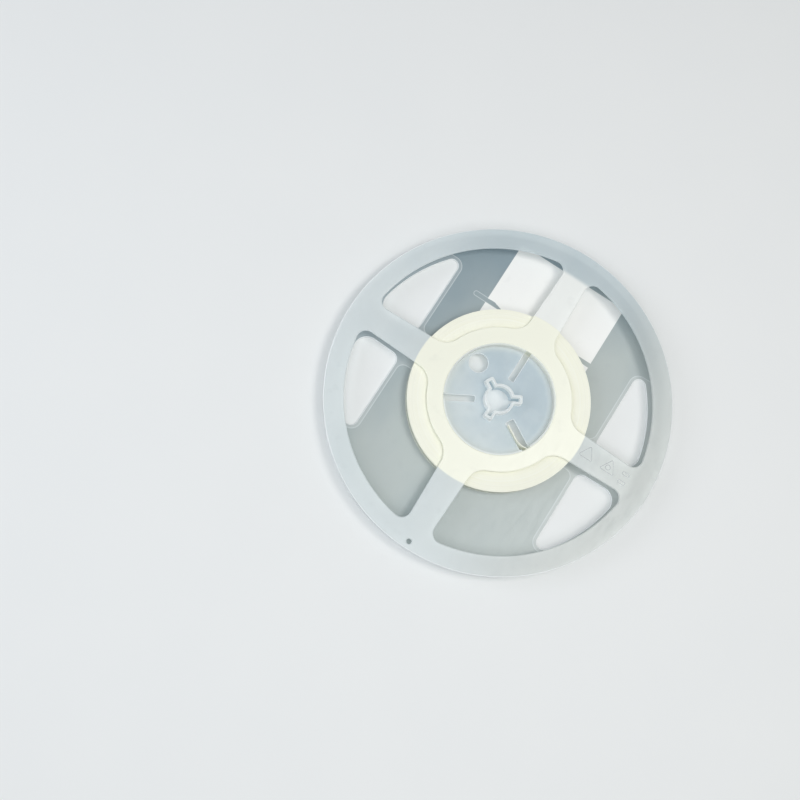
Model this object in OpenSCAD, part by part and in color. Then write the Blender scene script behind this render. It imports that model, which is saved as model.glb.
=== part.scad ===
// Plastic reel for 8 mm carrier tape, lying on its label side with a part-used roll of paper tape on its hub.
//
// Z is the reel's axis and z = 0 is the outer face of the label-side flange, so the open side faces +Z.
// +Y runs along the solid band of the label-side flange, past the label, and +X along its narrow spokes.
//
// The label-side moulding carries the hub: a drum that the tape is wound on, a web half way up it, and a
// keyed collar round the spindle bore. The open-side flange drops over a thin spigot on the drum's end and
// is welded there. The tape's inner end is threaded through the widest of the three slots in the hub.

/* [Reel] */
// Diameter of both flanges
flange_d = 180; // [178:0.5:200]
// Thickness of one flange
flange_t = 1.2; // [1:0.05:1.8]
// Clear width of the winding channel between the flanges
channel_w = 9; // [8.4:0.1:12]
// Rounding of the flanges' outer edges
rim_edge_r = 0.4; // [0.2:0.05:0.45]

/* [Hub] */
// Diameter that the tape is wound on
hub_d = 60; // [58:0.5:64]
// Wall of the drum
drum_wall = 1.8; // [1.4:0.1:2.4]
// Wall of the spigot that the open-side flange is welded to
spigot_wall = 0.8; // [0.5:0.1:1.1]
// How far the spigot stops below the flange's face
spigot_drop = 0.2; // [0.1:0.05:0.5]
// Thickness of the web between the drum and the collar
web_t = 1.4; // [1:0.1:2.4]
// Diameter of the spindle bore
bore_d = 13; // [12.8:0.1:13.2]
// Wall of the keyed collar round the bore
collar_wall = 1.3; // [1:0.1:1.5]
// Width of a keyway in the bore
key_w = 2.1; // [1.6:0.1:2.4]
// Diameter that the three keyways reach
key_d = 21; // [20:0.5:22]
// Width of the two plain slots
slot_w = 3.2; // [2.4:0.1:4]
// Width of the slot that holds the tape's inner end
tail_slot_w = 4.7; // [4.2:0.1:5.4]
// Distance from the axis to the inner end of a slot
slot_start = 12.2; // [11.5:0.1:13]
// Diameter of the round hole in the web
web_hole_d = 10; // [6:0.5:11]
// Distance from the axis to the round hole
web_hole_pos = 21.8; // [20:0.1:22]
// Diameter of the ejector marks on the web's label side
ejector_d = 7; // [4:0.5:8]
// Distance from the axis to the ejector marks
ejector_pos = 22; // [20:0.5:23]

/* [Open-side flange] */
// Width of its rim outside the windows
open_rim_w = 10.5; // [8:0.5:14]
// Width of an arm where it meets the rim
arm_tip_w = 14; // [10:0.5:18]
// Width of an arm at the windows' inner edge
arm_root_w = 16.6; // [12:0.5:20]
// Diameter of the windows' inner edge
window_inner_d = 75; // [70:1:84]
// Corner radius of the windows at the rim
window_rim_r = 5; // [2:0.5:8]
// Corner radius of the windows at the hub
window_hub_r = 10; // [5:0.5:12]
// Diameter of the small hole in the rim
rim_hole_d = 2.6; // [2:0.1:4]
// Distance from the rim to the middle of the small hole
rim_hole_inset = 4; // [3.5:0.1:5.5]

/* [Label-side flange] */
// Width of the solid band, from chord to chord
band_w = 110; // [104:1:120]
// Width of its rim outside the windows
label_rim_w = 10.5; // [8:0.5:14]
// Width of a spoke where it meets the rim
spoke_tip_w = 14.4; // [10:0.5:18]
// Width of a spoke where it meets the band
spoke_root_w = 15.8; // [12:0.5:20]
// Corner radius of the windows between chord and rim
chord_rim_r = 3.5; // [2:0.5:5]
// Corner radius of the windows between chord and spoke
chord_spoke_r = 4.5; // [2:0.5:7]
// Corner radius of the windows between spoke and rim
spoke_rim_r = 7; // [3:0.5:9]
// Width of the raised frame along each chord and round its windows' corners
frame_w = 2; // [1.5:0.1:3.5]
// Width of the raised bead round the flange
bead_w = 2.8; // [2:0.1:3]
// Width of the raised bar across the hub, from spoke to spoke
cross_bar_w = 20; // [16:1:26]
// Width of the raised ring outside the drum
hub_ring_w = 1.6; // [1:0.1:1.9]
// Depth of the panels between frame, bead and cross bar
panel_depth = 0.25; // [0.2:0.05:0.4]
// Corner radius of the panels at the cross bar
panel_corner_r = 4; // [2:0.5:6]
// Distance from the axis to the groove across the labelled panel
groove_pos = 43.2; // [40:0.1:50]
// Width of the groove
groove_w = 2.6; // [1.5:0.1:4]
// Length of the groove
groove_len = 82; // [60:1:98]
// Depth of the groove below the panel
groove_depth = 0.3; // [0.1:0.05:0.5]

/* [Label] */
// Width of the label, across the band
label_w = 64; // [50:0.5:66]
// Thickness of the label
label_t = 0.12; // [0.08:0.01:0.18]
// Distance from the axis to the label's inner edge
label_inner_edge = 32; // [31.5:0.1:33]
// Gap between the label's outer corners and the bead
label_bead_gap = 1.05; // [0.5:0.05:12]
// How far the label sits off the band's middle
label_shift = -1.2; // [-2:0.1:2]

/* [Tape] */
// Width of the carrier tape
tape_w = 8; // [7.8:0.05:8.2]
// Thickness of the carrier tape with its cover tapes
tape_t = 0.43; // [0.35:0.01:0.5]
// Number of turns left on the hub
turns = 41; // [20:1:50]
// Width of the crease between neighbouring turns
crease_w = 0.12; // [0.08:0.01:0.2]
// Depth of the crease between neighbouring turns
crease_depth = 0.08; // [0.04:0.01:0.15]
// Gap between the tape's inner end and the side of its slot
tail_gap = 0.14; // [0.05:0.01:0.3]
// Gap between the tape's tip and the slot's inner end
tail_tip_gap = 1.6; // [0.5:0.1:4]
// Bend radius of the tape's inner end where it leaves the drum
tail_bend_r = 10; // [9:0.5:12]
// Angle that the tape's inner end turns through there
tail_bend_angle = 43; // [38:1:46]

/* [Hidden] */
$fn = 180;
eps = 0.01;
flange_r = flange_d / 2;
hub_r = hub_d / 2;
drum_inner_r = hub_r - drum_wall;
spigot_r = drum_inner_r + spigot_wall;
open_z = flange_t + channel_w;
reel_h = open_z + flange_t;
web_z = (reel_h - web_t) / 2;
slot_corner_r = 0.7;
key_corner_r = 0.4;
boss_corner_r = 1;
label_corner_r = 1;
label_reach = label_w / 2 + abs(label_shift);
label_outer_edge = sqrt(pow(flange_r - bead_w - label_bead_gap, 2) - pow(label_reach, 2));
label_h = label_outer_edge - label_inner_edge;
ejector_depth = 0.15;
ejector_spread = 27;
slot_angles = [90, 210];
tail_slot_angle = 330;
key_angles = [30, 150, 270];
web_hole_angle = 150;
rim_hole_angle = 270;
outer_end_angle = 100;
far = 2 * flange_r;
reel_color = [0.82, 0.86, 0.87];
open_flange_color = [0.86, 0.9, 0.91];
tape_color = [0.95, 0.94, 0.86];
label_color = [0.95, 0.95, 0.93];

// A straight edge along +X that tapers outwards, as [half width at the axis, slope].
function taper(r_root, w_root, r_tip, w_tip) =
    let (slope = (w_root - w_tip) / 2 / (r_tip - r_root)) [w_root / 2 + slope * r_root, slope];
function taper_angle(edge) = atan(edge[1]);
function taper_offset(edge) = edge[0] * cos(taper_angle(edge));

// A bar along +X from x0 to x1 with all four corners rounded.
module rounded_bar(x0, x1, w, r) {
    translate([x0 + r, -w / 2]) square([x1 - x0 - 2 * r, w]);
    translate([x0, r - w / 2]) square([x1 - x0, w - 2 * r]);
    for (x = [x0 + r, x1 - r], y = [r - w / 2, w / 2 - r])
        translate([x, y]) circle(r);
}

// What a fillet of radius r takes from the corner between the line y = d and the circle of radius big_r.
// side is -1 where the opening lies inside that circle and 1 where it lies outside it.
module arc_corner(d, big_r, r, side) {
    centre_r = big_r + side * r;
    cx = sqrt(pow(centre_r, 2) - pow(d + r, 2));
    centre = [cx, d + r];
    corner = [sqrt(pow(big_r, 2) - pow(d, 2)), d];
    past = corner * (1 - side * 0.03);
    difference() {
        polygon([centre, [cx, d], [cx, d - 1], [past[0], d - 1], past, centre * big_r / centre_r]);
        translate(centre) circle(r);
    }
}

// One window of the open-side flange: a quarter of a ring between two tapered arms.
module open_window_2d() {
    rim_r = flange_r - open_rim_w;
    inner_r = window_inner_d / 2;
    edge = taper(inner_r, arm_root_w, rim_r, arm_tip_w);
    tilt = taper_angle(edge);
    d = taper_offset(edge);
    difference() {
        circle(rim_r);
        circle(inner_r);
        for (flip = [0, 1]) mirror([flip, -flip]) rotate(-tilt) {
            translate([-far, -far]) square([2 * far, far + d]);
            arc_corner(d, rim_r, window_rim_r, -1);
            arc_corner(d, inner_r, window_hub_r, 1);
        }
    }
}

// One window of the label-side flange: the corner of a disc beyond the band's chord and beside a spoke.
module label_window_2d() {
    rim_r = flange_r - label_rim_w;
    chord_x = band_w / 2;
    edge = taper(chord_x, spoke_root_w, rim_r, spoke_tip_w);
    tilt = taper_angle(edge);
    d = taper_offset(edge);
    r = chord_spoke_r;
    spoke_normal = [sin(tilt), cos(tilt)];
    cx = chord_x + r;
    centre = [cx, (d + r - cx * spoke_normal[0]) / spoke_normal[1]];
    difference() {
        circle(rim_r);
        translate([-far, -far]) square([far + chord_x, 2 * far]);
        rotate(-tilt) {
            translate([-far, -far]) square([2 * far, far + d]);
            arc_corner(d, rim_r, spoke_rim_r, -1);
        }
        mirror([1, -1]) arc_corner(chord_x, rim_r, chord_rim_r, -1);
        difference() {
            polygon([centre, [chord_x, centre[1]], [chord_x - 1, centre[1]], [chord_x - 1, 0],
                centre - r * spoke_normal]);
            translate(centre) circle(r);
        }
    }
}

// A flange's plain disc, with a rounded outer edge.
module flange_disc() {
    rotate_extrude() {
        square([flange_r - rim_edge_r, flange_t]);
        translate([0, rim_edge_r]) square([flange_r, flange_t - 2 * rim_edge_r]);
        for (z = [rim_edge_r, flange_t - rim_edge_r])
            translate([flange_r - rim_edge_r, z]) circle(rim_edge_r);
    }
}

// The bore and its three keyways, grown outwards by grow.
module keyed_bore_2d(grow, corner_r) {
    circle(bore_d / 2 + grow);
    for (a = key_angles)
        rotate(a) rounded_bar(0, key_d / 2 + grow, key_w + 2 * grow, corner_r);
}

// The three radial slots, which end at the drum's outer face.
module hub_slots() {
    translate([0, 0, -eps]) linear_extrude(reel_h + 2 * eps) intersection() {
        circle(hub_r);
        union() {
            for (a = slot_angles) rotate(a) rounded_bar(slot_start, hub_r + 2, slot_w, slot_corner_r);
            rotate(tail_slot_angle) rounded_bar(slot_start, hub_r + 2, tail_slot_w, slot_corner_r);
        }
    }
}

// The drum, its spigot, the web and the keyed collar.
module hub() {
    difference() {
        union() {
            cylinder(h = open_z, r = hub_r);
            cylinder(h = reel_h - spigot_drop, r = spigot_r);
        }
        translate([0, 0, -eps]) cylinder(h = reel_h, r = drum_inner_r);
    }
    translate([0, 0, web_z]) cylinder(h = web_t, r = drum_inner_r + drum_wall / 2);
    linear_extrude(reel_h) keyed_bore_2d(collar_wall, boss_corner_r);
}

// One of the two shallow panels on the outer face of the band, the one towards +Y. At the far end of each
// chord it runs round the window's corner, and stops at the line from the axis through that corner's centre.
module panel_2d() {
    half_w = band_w / 2 - frame_w;
    outer_r = flange_r - bead_w;
    r = panel_corner_r;
    y0 = cross_bar_w / 2;
    corner_x = band_w / 2 + chord_rim_r;
    corner = [corner_x, sqrt(pow(flange_r - label_rim_w - chord_rim_r, 2) - pow(corner_x, 2))];
    difference() {
        intersection() {
            circle(outer_r);
            union() {
                translate([-half_w, y0]) square([2 * half_w, far]);
                for (side = [-1, 1]) scale([side, 1])
                    polygon([[half_w - 1, corner[1]], corner, 2 * corner, [half_w - 1, far]]);
            }
        }
        circle(hub_r + hub_ring_w);
        for (side = [-1, 1]) scale([side, 1]) {
            translate(corner) circle(chord_rim_r + frame_w);
            difference() {
                translate([half_w - r, y0 - 1]) square([r + 1, r + 1]);
                translate([half_w - r, y0 + r]) circle(r);
            }
        }
    }
}

module panels() {
    for (side = [1, -1]) scale([1, side, 1])
        translate([0, 0, -eps]) linear_extrude(panel_depth + eps) panel_2d();
    translate([0, groove_pos, 0]) linear_extrude(panel_depth + groove_depth)
        rounded_bar(-groove_len / 2, groove_len / 2, groove_w, groove_w / 2 - eps);
}

module ejector_marks() {
    for (slot = concat(slot_angles, tail_slot_angle), side = [-1, 1])
        rotate(slot + side * ejector_spread) translate([ejector_pos, 0, web_z - eps])
            cylinder(h = ejector_depth + eps, d = ejector_d);
}

module label_side_flange() {
    color(reel_color) difference() {
        union() {
            difference() {
                flange_disc();
                for (x = [-1, 1], y = [-1, 1]) scale([x, y, 1])
                    translate([0, 0, -eps]) linear_extrude(flange_t + 2 * eps) label_window_2d();
                translate([0, 0, -eps]) cylinder(h = reel_h, r = drum_inner_r + drum_wall / 2);
                panels();
            }
            hub();
        }
        translate([0, 0, -eps]) linear_extrude(reel_h + 2 * eps) keyed_bore_2d(0, key_corner_r);
        hub_slots();
        rotate(web_hole_angle) translate([web_hole_pos, 0, 0]) cylinder(h = reel_h, d = web_hole_d);
        ejector_marks();
    }
}

module open_side_flange() {
    color(open_flange_color) translate([0, 0, open_z]) difference() {
        flange_disc();
        translate([0, 0, -eps]) {
            cylinder(h = flange_t + 2 * eps, r = spigot_r);
            for (a = [0:90:270]) rotate(a) linear_extrude(flange_t + 2 * eps) open_window_2d();
            rotate(rim_hole_angle) translate([flange_r - rim_hole_inset, 0, 0])
                cylinder(h = flange_t + 2 * eps, d = rim_hole_d);
        }
    }
}

// Section of a comb that presses the creases between neighbouring turns into the roll's lower side.
module crease_comb() {
    flare = crease_w / 2 * (1 + eps / crease_depth);
    teeth = [for (i = [1:turns - 2]) let (r = hub_r + i * tape_t)
        each [[r - flare, -eps], [r, crease_depth], [r + flare, -eps]]];
    outer_r = hub_r + turns * tape_t;
    polygon(concat([[hub_r, -1], [hub_r, -eps]], teeth, [[outer_r, -eps], [outer_r, -1]]));
}

// A disc whose edge is one turn of a spiral, drawn with four centres. It grows by one tape thickness.
module last_turn_2d(start_r) {
    step = tape_t / 4;
    centres = [[0, 0], [0, -step], [step, -step], [step, 0]];
    for (i = [0:3]) translate(centres[i]) intersection() {
        circle(start_r + i * step);
        rotate(90 * i) square(start_r + tape_t);
    }
}

// The tape's inner end: straight along the slot's side, then bent out to the roll's first turn.
module tape_tail() {
    side_y = -tail_slot_w / 2 + tail_gap;
    x0 = slot_start + tail_tip_gap;
    end_y = side_y + tape_t / 2 + tail_bend_r * (1 - cos(tail_bend_angle));
    // The tape meets the drum's face just inside the slot's other side.
    meet_y = tail_slot_w / 2 - tail_gap - tape_t / 2 / cos(tail_bend_angle);
    meet_x = sqrt(pow(hub_r, 2) - pow(meet_y, 2));
    last_len = (meet_y - end_y) / sin(tail_bend_angle);
    bend_x = meet_x - last_len * cos(tail_bend_angle) - tail_bend_r * sin(tail_bend_angle);
    bend_centre = [bend_x, side_y + tape_t / 2 + tail_bend_r];
    lean = tail_bend_angle - atan(meet_y / meet_x);
    root = (tape_t / 2 * sin(lean) + 3 * eps) / cos(lean);
    run = (last_len + root) * [cos(tail_bend_angle), sin(tail_bend_angle)];
    bend_steps = 10;
    // One face of the tape, at radius r round the bend's centre, from the tip to the root.
    function face(r) = concat(
        [[x0, bend_centre[1] - r]],
        [for (i = [0:bend_steps]) let (a = tail_bend_angle * i / bend_steps)
            bend_centre + r * [sin(a), -cos(a)]],
        [bend_centre + r * [sin(tail_bend_angle), -cos(tail_bend_angle)] + run]);
    inner = face(tail_bend_r - tape_t / 2);
    outer = face(tail_bend_r + tape_t / 2);
    back = len(inner) - 1;
    rotate(tail_slot_angle) linear_extrude(tape_w)
        polygon(concat(outer, [for (i = [back:-1:0]) inner[i]]));
}

module carrier_tape() {
    color(tape_color) translate([0, 0, flange_t]) {
        difference() {
            rotate(outer_end_angle) linear_extrude(tape_w) last_turn_2d(hub_r + (turns - 1) * tape_t);
            translate([0, 0, -eps]) cylinder(h = tape_w + 2 * eps, r = hub_r);
            rotate_extrude() crease_comb();
            translate([0, 0, tape_w]) mirror([0, 0, 1]) rotate_extrude() crease_comb();
        }
        tape_tail();
    }
}

module label() {
    color(label_color) translate([label_shift, label_inner_edge + label_h / 2, panel_depth - label_t])
        linear_extrude(label_t) rounded_bar(-label_w / 2, label_w / 2, label_h, label_corner_r);
}

label_side_flange();
open_side_flange();
carrier_tape();
label();
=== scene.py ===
"""Looks of a plastic reel with a part roll of 8 mm paper carrier tape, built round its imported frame.

The reel lies on its label side, so its open side faces up. Everything is in metres and in the frame's own axes:
+Z is the reel's axis, +Y runs along the solid band of the label-side flange and past the label, and +X along
its narrow spokes.
"""

import logging
import math
from collections.abc import Callable, Iterable, Sequence
from dataclasses import dataclass
from enum import Enum
from typing import Any

import bmesh
import bpy
from mathutils import Matrix, Vector, noise


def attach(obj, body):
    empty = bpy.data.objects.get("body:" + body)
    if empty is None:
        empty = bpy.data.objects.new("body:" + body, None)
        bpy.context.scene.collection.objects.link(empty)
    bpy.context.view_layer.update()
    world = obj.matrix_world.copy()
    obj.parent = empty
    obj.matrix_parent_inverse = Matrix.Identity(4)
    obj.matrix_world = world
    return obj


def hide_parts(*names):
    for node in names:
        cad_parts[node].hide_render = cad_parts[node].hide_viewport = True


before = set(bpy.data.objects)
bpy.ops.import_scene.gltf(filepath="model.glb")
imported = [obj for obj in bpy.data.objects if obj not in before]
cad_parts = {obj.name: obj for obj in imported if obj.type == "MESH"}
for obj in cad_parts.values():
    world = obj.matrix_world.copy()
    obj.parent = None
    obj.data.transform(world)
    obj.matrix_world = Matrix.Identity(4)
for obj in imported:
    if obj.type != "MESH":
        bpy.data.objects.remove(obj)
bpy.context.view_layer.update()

LOG = logging.getLogger("tape_reel")
BODY = "root"
MM = 0.001
Socket = bpy.types.NodeSocket
Tree = bpy.types.NodeTree
Mesh = bmesh.types.BMesh
Vert = bmesh.types.BMVert
Edge = bmesh.types.BMEdge
Piece = bpy.types.Object
Field = tuple[float, float, float, float]
UPRIGHT = 0.3  # a wall's normal leans less than this out of the reel's plane
LEVEL = 0.999  # a flat face's normal points at least this far along the axis
RIM_R = 89.3  # from here outwards, in millimetres, the rounding of the rim begins


def linear_rgba(hex_colour: str) -> tuple[float, float, float, float]:
    """Turns an sRGB hex colour into Blender's linear one.

    Args:
        hex_colour: Six hex digits, with or without a leading #.

    Returns:
        Linear red, green, blue and an alpha of 1.
    """
    digits = hex_colour.lstrip("#")
    channels = [int(digits[i : i + 2], 16) / 255 for i in (0, 2, 4)]
    linear = [c / 12.92 if c <= 0.04045 else ((c + 0.055) / 1.055) ** 2.4 for c in channels]
    return (linear[0], linear[1], linear[2], 1.0)


def add_node(tree: Tree, kind: str, inputs: dict[str | int, Any] | None = None, **settings: Any) -> bpy.types.Node:
    """Adds a node with its settings, values and links.

    Args:
        tree: The node tree it goes into.
        kind: The node's Blender type name, without the leading ShaderNode.
        inputs: Socket name or number to a value, or to the output socket that feeds it.
        **settings: The node's own properties.

    Returns:
        The new node.
    """
    node = tree.nodes.new("ShaderNode" + kind)
    for name, value in settings.items():
        setattr(node, name, value)
    for name, value in (inputs or {}).items():
        if isinstance(value, Socket):
            tree.links.new(value, node.inputs[name])
        else:
            node.inputs[name].default_value = value
    return node


def put_in_scene(name: str, data: Any) -> Piece:
    """Makes an object of a mesh, a lamp or a camera, puts it in the scene and returns it."""
    made = bpy.data.objects.new(name, data)
    bpy.context.scene.collection.objects.link(made)
    return made


def per_mm(size: float) -> float:
    """Gives the noise scale at which one blotch is about size millimetres wide."""
    return 1 / (size * MM)


@dataclass
class PlanPattern:
    """Masks drawn in the reel's own plane, from Object coordinates in metres."""

    tree: Tree

    def __post_init__(self) -> None:
        """Adds the coordinate nodes that every mask shares."""
        place = add_node(self.tree, "TexCoord")
        self.point: Socket = place.outputs["Object"]
        self.normal: Socket = place.outputs["Normal"]
        split = add_node(self.tree, "SeparateXYZ", {0: self.point})
        self.x, self.y, self.z = split.outputs[0], split.outputs[1], split.outputs[2]
        self.radius: Socket = self.reach(self.x, self.y)

    def math(self, operation: str, *values: Any) -> Socket:
        """Puts values through a Math node and returns its result."""
        return add_node(self.tree, "Math", dict(enumerate(values)), operation=operation).outputs[0]

    def fade(self, value: Socket, start: float, end: float) -> Socket:
        """Gives 0 where value is at start and 1 where it is at end, in millimetres, with a soft step between."""
        values = {"Value": value, "From Min": start * MM, "From Max": end * MM}
        return add_node(self.tree, "MapRange", values, interpolation_type="SMOOTHSTEP").outputs["Result"]

    def between(self, value: Socket, low: float, high: float, blur: float) -> Socket:
        """Masks where value lies between two millimetre marks.

        Args:
            value: The length that is looked at, in metres.
            low: The lower mark.
            high: The upper mark.
            blur: Width of the soft edge at each mark.

        Returns:
            A socket that is 1 between the marks and 0 outside them.
        """
        rising = self.fade(value, low - blur / 2, low + blur / 2)
        falling = self.fade(value, high + blur / 2, high - blur / 2)
        return self.math("MULTIPLY", rising, falling)

    def patch(self, x: tuple[float, float], y: tuple[float, float], blur: float) -> Socket:
        """Masks an upright rectangle, given as its two X marks and its two Y marks in millimetres."""
        return self.math(
            "MULTIPLY", self.between(self.x, x[0], x[1], blur), self.between(self.y, y[0], y[1], blur)
        )

    def noise(self, size: float, detail: float = 2.0, stretch: Sequence[float] = (1, 1, 1)) -> Socket:
        """Gives a soft noise of blotches about size millimetres wide, squeezed along each axis by stretch."""
        placed = add_node(self.tree, "Mapping", {"Vector": self.point, "Scale": tuple(stretch)})
        values = {"Vector": placed.outputs[0], "Scale": per_mm(size), "Detail": detail}
        return add_node(self.tree, "TexNoise", values).outputs["Fac"]

    def ripple(self, value: Socket, size: float, detail: float = 1.0) -> Socket:
        """Gives a noise that changes only with value, about size millimetres from one wave to the next."""
        values = {"W": value, "Scale": per_mm(size), "Detail": detail}
        return add_node(self.tree, "TexNoise", values, noise_dimensions="1D").outputs["Fac"]

    def reach(self, across: Socket, along: Socket) -> Socket:
        """Gives the length of a vector from its two parts in the reel's plane."""
        flat = add_node(self.tree, "CombineXYZ", {0: across, 1: along})
        return add_node(self.tree, "VectorMath", {0: flat.outputs[0]}, operation="LENGTH").outputs["Value"]

    def past(self, value: Socket, mark: float) -> Socket:
        """Gives how far the size of value lies past a millimetre mark, or 0 before it."""
        return self.math("MAXIMUM", self.math("SUBTRACT", self.math("ABSOLUTE", value), mark * MM), 0.0)

    def blend(self, share: Any, first: Any, second: Any, mode: str = "MIX") -> Socket:
        """Mixes two colours, each a hex string or a socket, by share."""
        colours = [linear_rgba(c) if isinstance(c, str) else c for c in (first, second)]
        values = {0: share, 6: colours[0], 7: colours[1]}
        return add_node(self.tree, "Mix", values, data_type="RGBA", blend_type=mode).outputs[2]

    def spread(self, value: Socket, low: float, high: float, lowest: float = 0.0, highest: float = 1.0) -> Socket:
        """Stretches value from the range low to high into lowest to highest, and clamps it there."""
        values = {"Value": value, "From Min": low, "From Max": high, "To Min": lowest, "To Max": highest}
        return add_node(self.tree, "MapRange", values).outputs["Result"]

    def blotches(self, size: float, lowest: float = 0.0, highest: float = 1.0) -> Socket:
        """Gives soft blotches about size millimetres wide, which run from lowest to highest."""
        return self.spread(self.noise(size), 0.3, 0.7, lowest, highest)


@dataclass(frozen=True)
class Finish:
    """The finish of one real material, drawn by nodes alone."""

    name: str

    def shade(self, plan: PlanPattern) -> Socket:
        """Adds this finish's nodes and returns its shader."""
        raise NotImplementedError

    def build(self) -> bpy.types.Material:
        """Builds the material and returns it."""
        material = bpy.data.materials.new(self.name)
        material.use_nodes = True
        material.node_tree.nodes.clear()
        shader = self.shade(PlanPattern(material.node_tree))
        add_node(material.node_tree, "OutputMaterial", {"Surface": shader})
        return material


@dataclass(frozen=True)
class MilkyPolystyrene(Finish):
    """Natural polystyrene, injection moulded: milky, half clear, with a soft gloss and faint flow marks.

    The sheet runs from a painted shade at one side to its body colour at the other, for how the light falls across
    it, and the lit colour of whatever touches it from behind is painted into it. Upright faces inside it are given a
    painted glow for the light that the sheet pipes along.
    """

    # The first colour is a painted shade; the way and span further down say where it runs across the sheet.
    painted_shade: str
    body: str
    clear: float
    shade_way: tuple[float, float]
    shade_span: tuple[float, float]
    roughness: float = 0.34
    ior: float = 1.59
    milky: float = 0.22
    clear_backed: float = 0.07
    painted_glow: float = 0.2

    def dress(self, plan: PlanPattern, colour: Socket) -> tuple[Socket, Any]:
        """Adds what this moulding shows of its own.

        Args:
            plan: The pattern maker of this material.
            colour: The bare sheet's colour.

        Returns:
            The finished colour, and 1 where something touches the sheet from below, 0 where nothing does.
        """
        return colour, 0.0

    def shade(self, plan: PlanPattern) -> Socket:
        """Adds this finish's nodes and returns its shader."""
        tree = plan.tree
        # Painted shade: the colour darkens towards one side of the sheet, with random flow marks on top.
        across = plan.math("MULTIPLY", plan.x, self.shade_way[0])
        along = plan.math("MULTIPLY_ADD", plan.y, self.shade_way[1], across)
        flow = plan.spread(plan.noise(38.0, 3.0, (1.0, 0.6, 1.0)), 0.3, 0.7, -0.2, 0.2)
        colour = plan.blend(plan.math("ADD", plan.fade(along, *self.shade_span), flow), self.painted_shade, self.body)
        colour, backed = self.dress(plan, colour)
        smudge = plan.spread(plan.noise(7.0, 4.0), 0.62, 0.76, 0.0, 0.07)
        colour = plan.blend(smudge, colour, "#8E9494")
        smear = plan.spread(plan.noise(1.6, 4.0, (1.0, 0.16, 1.0)), 0.46, 0.78)
        roughness = plan.spread(smear, 0, 1, self.roughness, self.roughness + 0.12)
        bump = add_node(tree, "Bump", {"Height": plan.noise(0.5, 3.0), "Strength": 0.12, "Distance": 0.02 * MM})
        facing = add_node(tree, "SeparateXYZ", {0: plan.normal}).outputs[2]
        # Painted glow: upright faces give off a little light in their own colour.
        upright = plan.spread(plan.math("ABSOLUTE", facing), 0.9, 0.3, 0.0, self.painted_glow)
        shell = add_node(
            tree,
            "BsdfPrincipled",
            {
                "Base Color": colour,
                "Roughness": roughness,
                "IOR": self.ior,
                "Normal": bump.outputs[0],
                "Emission Color": colour,
                "Emission Strength": upright,
            },
        )
        milk = add_node(tree, "BsdfTranslucent", {"Color": colour})
        milky = plan.spread(backed, 0, 1, self.milky, 0.0)
        sheet = add_node(tree, "MixShader", {0: milky, 1: shell.outputs[0], 2: milk.outputs[0]})
        through = add_node(tree, "BsdfTransparent", {"Color": linear_rgba("#F4F8F9")})
        inside = add_node(tree, "NewGeometry").outputs["Backfacing"]
        share = plan.math("MAXIMUM", inside, plan.spread(backed, 0, 1, self.clear, self.clear_backed))
        mix = add_node(tree, "MixShader", {0: share, 1: sheet.outputs[0], 2: through.outputs[0]})
        return mix.outputs[0]


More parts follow.
